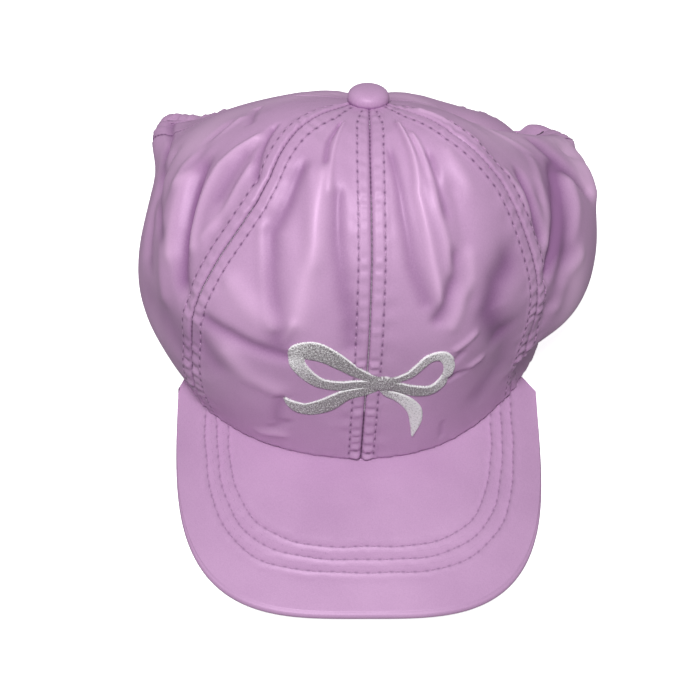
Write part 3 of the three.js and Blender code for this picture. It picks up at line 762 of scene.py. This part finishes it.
def upper_shares(deg):
    """Rows from the opening's upper rim to the button."""
    top = rim_top(deg)[:, None]
    return top + (PANEL_TOP - top) * np.linspace(0, 1, 96) ** 1.15


def thicken(piece, thickness):
    """Gives a sheet its thickness inwards."""
    solid = piece.modifiers.new("thickness", "SOLIDIFY")
    solid.thickness = thickness * MM
    solid.offset = -1
    return piece


PANELS = {
    "panel_front_left": (LEFT_SEAM, 0.0),
    "panel_front_right": (0.0, RIGHT_SEAM),
    "panel_side_left": (-BACK_SEAM, LEFT_SEAM),
    "panel_side_right": (RIGHT_SEAM, BACK_SEAM),
    "panel_back_left": (-180.0, -BACK_SEAM),
    "panel_back_right": (BACK_SEAM, 180.0),
}
for node, (start, end) in PANELS.items():
    if "back" in node:
        grids = [
            panel_grid(start, end, lower_shares, rim_bottom),
            panel_grid(start, end, upper_shares, rim_top),
        ]
    else:
        grids = [panel_grid(start, end, closed_shares)]
    panel = surface("satin_" + node, grids, panel_satin, [node])
    thicken(panel, WALL)
    area = 0.0
    for points, _ in grids:
        a, b = np.diff(points, axis=0)[:, :-1], np.diff(points, axis=1)[:-1]
        area += np.linalg.norm(np.cross(a, b), axis=-1).sum() * MM * MM
    area * 0.995

# ---- Topstitches of the crown ----
# Lilac thread, one row on either side of each seam. A stitch shows as a short plump bar
# that dives into the cloth at both ends.

thread_material, thread_start = new_material("stitch_thread", Sheen_Weight=0.2)
thread_tone = thread_start.noise(900.0, 2.0)
finish_material(
    thread_material,
    color=full_range(thread_tone).mix((0.36, 0.19, 0.36, 1), (0.52, 0.3, 0.51, 1)),
    roughness=thread_tone * 0.2 + 0.35,
    height=thread_tone,
    distance=0.00005,
)


def stitch_bars(name, centres, ahead, normals, length, radius):
    """A bar per stitch: a ring of points carried along the stitch, with radius r(1 - s⁶)½
    and height 0.28 - 0.6s⁴ above the cloth, for s from -1 at one end to 1 at the other."""
    s = np.linspace(-1, 1, 9)
    ring = np.linspace(0, 2 * np.pi, 7)
    side = np.cross(ahead, normals)
    lift = 0.28 - 0.6 * s**4
    thick = radius * np.sqrt(np.maximum(1 - s**6, 0.02))
    line = centres[:, None] + ahead[:, None] * (s * length / 2)[:, None] + normals[:, None] * lift[:, None]
    spin = np.cos(ring)[:, None] * side[:, None, None]
    spin = spin + np.sin(ring)[:, None] * 0.8 * normals[:, None, None]
    points = line[:, :, None] + spin * thick[:, None, None]
    cloth = np.zeros(points.shape[1:3] + (2,))
    return surface(name, [(bar, {"cloth": cloth}) for bar in points], thread_material, flip=True)


def read_off(values, marks, lengths):
    """Rows of values at marks along a line, from the rows at its points and their lengths."""
    return np.stack([np.interp(marks, lengths, column) for column in values.T], -1)


def bars_along(points, normals, pitch, start, reach):
    """Centres, directions and normals of stitches set at a pitch along a line of points.
    A stitch lies halfway between whole numbers of pitches, so its ends are at needle holes,
    and its direction is that of the line's stretch of that reach."""
    lengths = length_along(points) + start
    marks = (np.arange(math.ceil(lengths[0] / pitch), math.floor(lengths[-1] / pitch)) + 0.5) * pitch
    ahead = read_off(points, marks + reach / 2, lengths) - read_off(points, marks - reach / 2, lengths)
    return read_off(points, marks, lengths), unit(ahead), unit(read_off(normals, marks, lengths))


FIRST_STITCH, LAST_STITCH, RIM_MARGIN = 0.008, 0.93, 0.01  # shares up the cloth
SEAM_ENDS = {seam: [(FIRST_STITCH, LAST_STITCH)] for seam in (0.0, LEFT_SEAM, RIGHT_SEAM)}
SEAM_ENDS[180.0] = [(FIRST_STITCH, OPENING_BOTTOM - RIM_MARGIN), (OPENING_TOP + RIM_MARGIN, LAST_STITCH)]
crown_bars = []
for seam, stretches in SEAM_ENDS.items():
    for side in (-1, 1):
        row_deg, row_length = seam_row(seam, side, ROW_SHARES)
        for low_share, high_share in stretches:
            share = np.linspace(low_share, high_share, 200)
            deg = np.interp(share, ROW_SHARES, row_deg)
            normals = normal_of(crown, deg, share)
            points = crown(deg, share)
            begin = np.interp(low_share, ROW_SHARES, row_length)
            crown_bars.append(bars_along(points, normals, STITCH_PITCH, begin, reach=3.5))
crown_bars = [np.concatenate(part) for part in zip(*crown_bars)]
stitch_bars("crown_stitches", *crown_bars, length=3.0, radius=0.3)

# ---- Opening casing ----
# A tube of the same satin round the ponytail opening, gathered on the elastic inside it.
# It is sewn to the panels' cut edges all round.

CASING_INSET, CASING_WIDTH = -1.0, 9.9  # from the opening's rim, which the panels overlap
CASING_HALF, CASING_EDGE_FULLNESS = 1.7, 0.3
CASING_PUCKER = 0.4
CORNER_PRESS, CORNER_REACH = 0.6, 0.5
SHARE_STEP = 0.004


def share_length(deg, share):
    """Millimetres of cloth per share, measured up the cloth."""
    above = crown(np.array(deg), np.array(share + SHARE_STEP))
    below = crown(np.array(deg), np.array(share - SHARE_STEP))
    return np.linalg.norm(above - below) / (2 * SHARE_STEP)


def casing_point(turn, across, lift):
    """A place on the casing: round the opening by turn, in from its rim by across, and
    lift times half the thickness off its middle layer. The right corner is pressed flat."""
    inset = CASING_INSET + across * CASING_WIDTH
    radius = radius_at(np.array(180 - OPENING_HALF_ANGLE), np.array(OPENING_CORNER))
    half_angle = OPENING_HALF_ANGLE - np.degrees(inset / radius)
    top = OPENING_TOP - inset / share_length(180.0, OPENING_TOP)
    bottom = OPENING_BOTTOM + inset / share_length(180.0, OPENING_BOTTOM)
    limit = np.where(np.sin(turn) > 0, top, bottom)
    deg = 180 + half_angle * np.cos(turn)
    share = OPENING_CORNER + (limit - OPENING_CORNER) * np.abs(np.sin(turn))
    swell = np.sin(np.pi * across)
    pucker = wander(turn * 31, 1) + 0.7 * wander(turn * 67, 3)
    plump = 1 - CORNER_PRESS * bell(turn - np.pi, CORNER_REACH)
    fullness = CASING_EDGE_FULLNESS + (1 - CASING_EDGE_FULLNESS) * swell
    half = (CASING_HALF * fullness + CASING_PUCKER * pucker * swell) * plump
    return raised(deg, share, -WALL / 2 + lift * half)


turns, loops = np.meshgrid(np.linspace(0, 2 * np.pi, 900), np.linspace(0, 2 * np.pi, 25), indexing="ij")
casing_points = casing_point(turns, 0.5 - 0.5 * np.cos(loops), np.sin(loops))
casing_cloth = np.stack([turns * 60, loops * 3], -1)
casing_satin = satin_material("satin_casing", stitched=0)
casing_grid = (casing_points, {"cloth": casing_cloth})
surface("gathered_casing", [casing_grid], casing_satin, ["opening_casing"])

# ---- Sweatband ----
# A band of plain lilac cotton inside the hem, turned in at its upper edge.
# It is sewn to the panels and to the root of the peak.

band_material, band_start = new_material("band_cotton", Sheen_Weight=0.3)
band_across, band_rise = band_start.uv("cloth")
band_weave = band_across.wave(0.6) * 0.5 + band_rise.wave(0.6) * 0.5
band_tone = band_start.noise(60.0, 3.0)
finish_material(
    band_material,
    color=full_range(band_tone).mix((0.4, 0.23, 0.4, 1), (0.49, 0.3, 0.49, 1)),
    roughness=band_tone * 0.15 + 0.7,
    height=band_weave,
    distance=0.0001,
)


BAND_HEIGHT, BAND_HALF, BAND_DEPTH = 26.5, 0.72, 2.75


def band_point(deg, loop):
    """A closed section: up the inner face and down the outer one, with rounded ends."""
    rise = 0.5 - 0.5 * np.cos(loop)
    half = BAND_HALF * np.sign(np.sin(loop)) * np.abs(np.sin(loop)) ** 0.35
    share = rise * BAND_HEIGHT / CLOTH_RUN
    fold = 0.25 * np.exp(-(((rise - 0.82) * 9) ** 2)) + 0.05 * wander(deg * 0.7, 2) * rise
    return raised(deg, share, -BAND_DEPTH + half + fold)


degs, loops = np.meshgrid(np.linspace(0, 360, 361), np.linspace(0, 2 * np.pi, 33), indexing="ij")
band_uv = np.stack([np.radians(degs) * 84, 13 - 13 * np.cos(loops)], -1)
band_grid = (band_point(degs, loops), {"cloth": band_uv})
surface("cotton_sweatband", [band_grid], band_material, ["sweatband"])

# ---- Peak ----
# A stiff curved peak covered in the same satin, with three rows of topstitches near its
# edge. Its root is sewn in under the hem, and its sides come down onto the surface.

PEAK_HALF_WIDTH, PEAK_ROOT, PEAK_REACH = 82.5, 49.0, 112.0
PEAK_SQUARENESS = 3.3
PEAK_TIP_HEIGHT, PEAK_CAMBER = 8.3, 2.2
PEAK_THICKNESS, PEAK_ARCH = 3.5, 1.2
PEAK_END, PEAK_ROOT_BEND, PEAK_BEND_POWER = 62.0, 50.0, 1.7
PEAK_PITCH = 5.0
# Half width and reach of the three rows' outlines, which have the edge's squareness
PEAK_ROWS = [(69.3, 93.3), (64.3, 87.6), (59.3, 82.0)]


def peak_edge(turn):
    """The peak's top edge: a superellipse in plan, its height falling from the tip to the
    sides and climbing to the hem along the last stretch."""
    sin, cos = np.sin(turn), np.cos(turn)
    radius = np.abs(sin / PEAK_HALF_WIDTH) ** PEAK_SQUARENESS + np.abs(cos / PEAK_REACH) ** PEAK_SQUARENESS
    radius = radius ** (-1 / PEAK_SQUARENESS)
    x, forward = radius * sin, radius * cos
    drop = np.abs(x / PEAK_HALF_WIDTH) ** PEAK_CAMBER
    camber = PEAK_TIP_HEIGHT + (PEAK_THICKNESS - PEAK_TIP_HEIGHT) * drop
    bend = np.clip(1 - forward / PEAK_ROOT_BEND, 0, 1) ** PEAK_BEND_POWER
    root = hem_height(PEAK_END) - GAP
    return np.stack([x, -PEAK_ROOT - forward, camber + (root - camber) * bend], -1)


def peak_top(turn, along):
    """The peak's top face: straight lines from the hem, where turn is -1 to 1 from left to
    right, to the edge, with a slight arch between."""
    hem = raised(turn * PEAK_END, 0 * turn, 0 * turn) - np.array([0, 0, GAP])
    arch = PEAK_ARCH * np.sin(np.pi * along) * (1 - turn * turn)
    point = hem + (peak_edge(turn * np.pi / 2) - hem) * along[..., None]
    return point + np.stack([0 * arch, 0 * arch, arch], -1)


def row_level(point, half_width, reach):
    """1 on a row's slightly wavering outline, less inside it and more outside."""
    x, forward = point[..., 0], -PEAK_ROOT - point[..., 1]
    waver = 0.3 * wander(np.arctan2(x, forward) * 9, half_width)
    x, forward = np.abs(x) / (half_width + waver), np.maximum(forward, 0) / (reach + waver)
    return (x**PEAK_SQUARENESS + forward**PEAK_SQUARENESS) ** (1 / PEAK_SQUARENESS)


def row_line(half_width, reach):
    """A row's points on the peak's top face, found on each line from the hem by halving."""
    turn = np.linspace(-0.93, 0.93, 600)
    low, high = np.zeros(600), np.ones(600)
    for _ in range(24):
        middle = (low + high) / 2
        inside = row_level(peak_top(turn, middle), half_width, reach) < 1
        low, high = np.where(inside, middle, low), np.where(inside, high, middle)
    keep = low > 0.01
    return peak_top(turn, low)[keep]


row_lines = [row_line(*row) for row in PEAK_ROWS]
row_angles = [np.arctan2(line[:, 0], -line[:, 1] - PEAK_ROOT) for line in row_lines]
row_lengths = [length_along(line) for line in row_lines]
PEAK_COLUMNS = 260
EDGE_START = 0.97  # share of the way from the hem at which the edge begins to roll over
turn_places = np.sin(np.linspace(-np.pi / 2, np.pi / 2, PEAK_COLUMNS))
turn_places = turn_places * 0.5 + np.linspace(-0.5, 0.5, PEAK_COLUMNS)
turns, alongs = np.meshgrid(turn_places, np.linspace(0, EDGE_START, 130), indexing="ij")
top_points = peak_top(turns, alongs)
relief = 0 * alongs
beside = np.full(alongs.shape, FAR)
phase = 0 * alongs
for (half_width, reach), angles, lengths in zip(PEAK_ROWS, row_angles, row_lengths):
    forward = -PEAK_ROOT - top_points[..., 1]
    off = (row_level(top_points, half_width, reach) - 1) * np.hypot(top_points[..., 0], forward)
    here = np.interp(np.arctan2(top_points[..., 0], forward), angles, lengths) / PEAK_PITCH
    relief -= 0.24 * bell(off, 0.8) * (1 + np.cos(np.pi * here) ** 6)
    relief += 0.08 * np.exp(-(((np.abs(off) - 2.6) / 1.3) ** 2)) * (1 + wander(here * 1.9, half_width))
    closer = np.abs(off) < np.abs(beside)
    beside, phase = np.where(closer, off, beside), np.where(closer, here, phase)
relief = relief + 0.12 * wander(top_points[..., 0] * 0.09, 3) * wander(top_points[..., 1] * 0.07, 1)
top_points = top_points + grid_normals(top_points) * relief[..., None]
edge_points = peak_edge(turn_places * np.pi / 2)
outward = edge_points - peak_top(turn_places, 0 * turn_places + 0.9)
outward[:, 2] = 0
outward = unit(outward)
half_thick = PEAK_THICKNESS / 2
swing = np.linspace(np.pi / 2, -np.pi / 2, 12)
roll_centre = edge_points - outward * half_thick - np.array([0, 0, half_thick])
edge_roll = roll_centre[:, None] + half_thick * (
    np.cos(swing)[None, :, None] * outward[:, None] + np.sin(swing)[None, :, None] * np.array([0, 0, 1.0])
)
under_turns, under_alongs = np.meshgrid(turn_places, np.linspace(EDGE_START, 0, 60), indexing="ij")
under_points = peak_top(under_turns, under_alongs) - np.array([0, 0, PEAK_THICKNESS])
ROOT_DEPTH = 3.4  # how far in under the hem the root reaches
root_low = raised(turn_places * PEAK_END, 0 * turn_places, 0 * turn_places - ROOT_DEPTH)
root_low = (root_low - np.array([0, 0, GAP + PEAK_THICKNESS]))[:, None]
root_high = root_low + np.array([0, 0, PEAK_THICKNESS])
peak_points = np.concatenate([root_high, top_points, edge_roll, under_points, root_low, root_high], 1)
peak_steps = np.linalg.norm(np.diff(peak_points, axis=1, prepend=peak_points[:, :1]), axis=-1)
peak_uv = np.stack([peak_points[..., 0], np.cumsum(peak_steps, axis=1)], -1)
peak_stitch = np.stack([np.full(peak_steps.shape, FAR), np.zeros(peak_steps.shape)], -1)
peak_stitch[:, 1 : 1 + beside.shape[1]] = np.stack([beside, phase], -1)
peak_satin = satin_material("satin_peak", stitched=0.5)
peak_maps = {"cloth": peak_uv, "stitch": peak_stitch}
surface("satin_peak", [(peak_points, peak_maps)], peak_satin, ["peak"], flip=True)
peak_bars = []
for line, lengths in zip(row_lines, row_lengths):
    lifted = np.tile(np.array([0.0, 0.0, 1.0]), (len(line), 1))
    peak_bars.append(bars_along(line, lifted, PEAK_PITCH, 0.0, reach=3.9))
peak_bars = [np.concatenate(part) for part in zip(*peak_bars)]
stitch_bars("peak_stitches", *peak_bars, length=3.4, radius=0.27)

# ---- Embroidered bow ----
# Two loops, two tails and a knot in glittering silver-grey thread, worked flat through the
# front panels. All strands run in under the knot, and a white cord edges their upper sides.

BOW_SIZE = 66.0
BOW_ACROSS, BOW_UP = 6.7, 47.0
# Middle line beside and above the knot and the width there, as shares of BOW_SIZE, then
# how pale the thread is
STRANDS = {
    "bow_loop_left": [
        [-0.03, 0.022, 0.07, 0.2], [-0.092, 0.062, 0.075, 0.2], [-0.17, 0.112, 0.09, 0.2],
        [-0.26, 0.19, 0.11, 0.2], [-0.35, 0.262, 0.13, 0.25], [-0.445, 0.305, 0.15, 0.3],
        [-0.52, 0.292, 0.125, 0.4], [-0.533, 0.22, 0.1, 0.7], [-0.486, 0.12, 0.095, 0.5],
        [-0.395, 0.02, 0.09, 0.3], [-0.268, -0.016, 0.09, 0.2], [-0.17, -0.004, 0.08, 0.2],
        [-0.03, 0.0, 0.07, 0.2],
    ],
    "bow_tail_left": [
        [-0.03, -0.03, 0.07, 0.2], [-0.1, -0.066, 0.085, 0.2], [-0.23, -0.11, 0.105, 0.2],
        [-0.352, -0.203, 0.13, 0.2], [-0.476, -0.24, 0.11, 0.3], [-0.556, -0.197, 0.07, 0.4],
        [-0.6, -0.142, 0.012, 0.6],
    ],
    "bow_loop_right": [
        [0.03, 0.015, 0.06, 0.2], [0.09, 0.04, 0.06, 0.2], [0.164, 0.083, 0.065, 0.3],
        [0.217, 0.152, 0.065, 0.4], [0.279, 0.226, 0.075, 0.5], [0.353, 0.235, 0.085, 0.7],
        [0.403, 0.16, 0.08, 0.8], [0.408, 0.053, 0.075, 0.7], [0.368, -0.05, 0.085, 0.5],
        [0.306, -0.1, 0.095, 0.3], [0.205, -0.085, 0.1, 0.2], [0.108, -0.042, 0.09, 0.2],
        [0.03, -0.01, 0.07, 0.2],
    ],
    "bow_tail_right": [
        [0.0, -0.03, 0.06, 0.3], [0.03, -0.09, 0.06, 0.5], [0.1, -0.132, 0.075, 0.7],
        [0.17, -0.2, 0.09, 0.9], [0.217, -0.28, 0.095, 1.0], [0.232, -0.386, 0.08, 1.0],
        [0.215, -0.515, 0.01, 1.0],
    ],
    "bow_knot": [
        [-0.078, 0, 0.025, 0.2], [-0.05, 0, 0.105, 0.2], [0, 0.004, 0.13, 0.25],
        [0.05, 0, 0.105, 0.2], [0.078, 0, 0.025, 0.2],
    ],
}


def smooth_line(rows, step):
    """Values along a cubic through the rows, every step millimetres, and the lengths there.
    Each stretch blends lines through four rows, whose knots lie the root of their distance
    apart."""
    rows = np.array(rows, float)
    ends = np.concatenate([[2 * rows[0] - rows[1]], rows, [2 * rows[-1] - rows[-2]]])
    made = []
    for i in range(1, len(ends) - 2):
        p = ends[i - 1 : i + 3]
        roots = np.sqrt(np.linalg.norm(np.diff(p[:, :2], axis=0), axis=-1))
        knots = np.concatenate([[0], np.cumsum(roots)])
        t = np.linspace(knots[1], knots[2], 40, endpoint=i == len(ends) - 3)[:, None]

        def between(a, b, first, last):
            span = knots[last] - knots[first]
            return (knots[last] - t) / span * a + (t - knots[first]) / span * b

        a, b, c = (between(p[k], p[k + 1], k, k + 1) for k in range(3))
        made.append(between(between(a, b, 0, 2), between(b, c, 1, 3), 1, 2))
    made = np.concatenate(made)
    lengths = length_along(made[:, :2])
    marks = np.linspace(0, lengths[-1], int(lengths[-1] / step) + 1)
    return read_off(made, marks, lengths), marks


def on_cloth(across, rise, height):
    """A place on the front given by millimetres beside the front seam and above the hem."""
    return raised(np.degrees(across / HALF_WIDTH), rise / CLOTH_RUN, height)


embroidery, bow_start = new_material("embroidery_thread", Sheen_Weight=0.2, Specular_IOR_Level=0.6)
bow_along, bow_side = bow_start.uv("cloth")
bow_pale = bow_start.uv("pale")[0]
THREAD_PITCH = 0.62
bow_thread = (bow_along + bow_side * 0.7).wave(THREAD_PITCH)
# The glitter's pale and dark specks are painted into the colour: painted glints, which also vary the
# roughness and bumps
bow_glitter = bow_start.node("CombineXYZ", {0: bow_along * 2.4, 1: bow_side * 1.1}).noise(1.0, 3.0)
finish_material(
    embroidery,
    color=(bow_pale + (bow_glitter - 0.5) * 3.4 + (bow_thread - 0.5) * 0.12).mix(
        (0.2, 0.175, 0.19, 1), (0.95, 0.93, 0.95, 1)
    ),
    roughness=bow_glitter * 0.4 + 0.25,
    height=bow_thread * 0.6 + bow_glitter * 1.2,
    distance=0.00025,
)
THREAD_SINK, STRAND_CREST, KNOT_CREST = 0.25, 0.8, 1.35
CORD_INSET, CORD_REACH, CORD_RISE = 0.35, 0.27, 0.18
for strand_name, rows in STRANDS.items():
    line, marks = smooth_line(np.array(rows) * np.array([BOW_SIZE, BOW_SIZE, BOW_SIZE, 1]), step=0.24)
    ahead = unit(np.gradient(line[:, :2], axis=0))
    sides = np.sin(np.linspace(-np.pi / 2, np.pi / 2, 27))
    half = line[:, 2:3] / 2
    over = sides[None] * half
    across = BOW_ACROSS + line[:, 0:1] - ahead[:, 1:2] * over
    rise = BOW_UP + line[:, 1:2] + ahead[:, 0:1] * over
    from_edge = half - over * np.tanh(4 * ahead[:, 0:1])
    cord = bell(from_edge - CORD_INSET, CORD_REACH)
    cord = cord * smooth_step(np.abs(ahead[:, 0:1]), 0.1, 0.4)
    cord = cord * smooth_step(np.hypot(line[:, 0:1], line[:, 1:2]), 4.5, 9.0) * (strand_name != "bow_knot")
    crest = KNOT_CREST if strand_name == "bow_knot" else STRAND_CREST
    ragged = 0.07 * np.sin(2 * np.pi * marks / THREAD_PITCH)[:, None] * np.abs(sides) ** 3
    height = -THREAD_SINK + (THREAD_SINK + crest) * (1 - sides[None] ** 6) ** 0.5 + CORD_RISE * cord
    pale = np.stack([1.05 * line[:, 3:4] + 1.1 * cord, 0 * over], -1)
    uv = np.stack([np.broadcast_to(marks[:, None], over.shape), over], -1)
    points = on_cloth(across - ahead[:, 1:2] * ragged, rise + ahead[:, 0:1] * ragged, height)
    maps = {"cloth": uv, "pale": pale}
    surface("thread_" + strand_name, [(points, maps)], embroidery, [strand_name])

# ---- Top button ----
# A pressed metal button covered in the same satin, which closes the crown where the
# panels meet. It leans back and is pressed a little into the cloth under it.

BUTTON_RADIUS, BUTTON_HEIGHT = 8.9, 6.3
BUTTON_SINK, BUTTON_LEAN, BUTTON_FORWARD = 0.9, 18.0, 4.0
BUTTON_STEPS = 60
lean = math.radians(BUTTON_LEAN)
axis = np.array([0, math.sin(lean), math.cos(lean)])
seat = form(np.array(0.0), np.array(1.0)) - np.array([0, BUTTON_FORWARD, 0])
degs, shares = np.meshgrid(np.arange(0, 360, 15.0), np.arange(PANEL_TOP, 0.7, -0.004), indexing="ij")
around_seat = crown(degs, shares) - seat
heights = around_seat @ axis
under_button = np.sum(around_seat**2, -1) - heights**2 < BUTTON_RADIUS**2
seat = seat + axis * (heights[under_button].max() - BUTTON_SINK)
# Out and up as shares of the radius and the height
profile = np.array([
    [0, -0.42], [0.8, -0.42], [0.9, -0.3], [0.96, -0.1], [0.99, 0.1], [1, 0.28],
    [0.975, 0.48], [0.9, 0.67], [0.77, 0.82], [0.6, 0.92], [0.4, 0.975], [0.2, 0.995], [0, 1],
])
profile_lengths = length_along(profile)
out, high = read_off(profile, np.linspace(0, profile_lengths[-1], BUTTON_STEPS), profile_lengths).T
for _ in range(3):
    out[1:-1] = (out[:-2] + 2 * out[1:-1] + out[2:]) / 4
    high[1:-1] = (high[:-2] + 2 * high[1:-1] + high[2:]) / 4
spins, steps = np.meshgrid(np.linspace(0, 2 * np.pi, 121), np.arange(BUTTON_STEPS), indexing="ij")
gathers = 1 + 0.012 * np.cos(18 * spins + wander(spins * 3, 1)) * (1 - smooth_step(high[steps], 0.05, 0.45))
ring = out[steps] * gathers * BUTTON_RADIUS
flat = np.stack([np.cos(spins) * ring, np.sin(spins) * ring, high[steps] * BUTTON_HEIGHT], -1)
leaning = np.array([[1, 0, 0], [0, math.cos(lean), math.sin(lean)], [0, -math.sin(lean), math.cos(lean)]])
button_points = flat @ leaning.T + seat
button_uv = np.stack([flat[..., 0], flat[..., 1]], -1)
# Painted shade on the button's lower rim, where the cloth tucks under it
button_rim_shade = np.stack([-3 * (1 - smooth_step(high[steps], 0.05, 0.36)), 0 * ring], -1)
button_satin = satin_material("satin_button", stitched=0, creased=True)
button_maps = {"cloth": button_uv, "relief": button_rim_shade}
surface("covered_button", [(button_points, button_maps)], button_satin, ["top_button"])
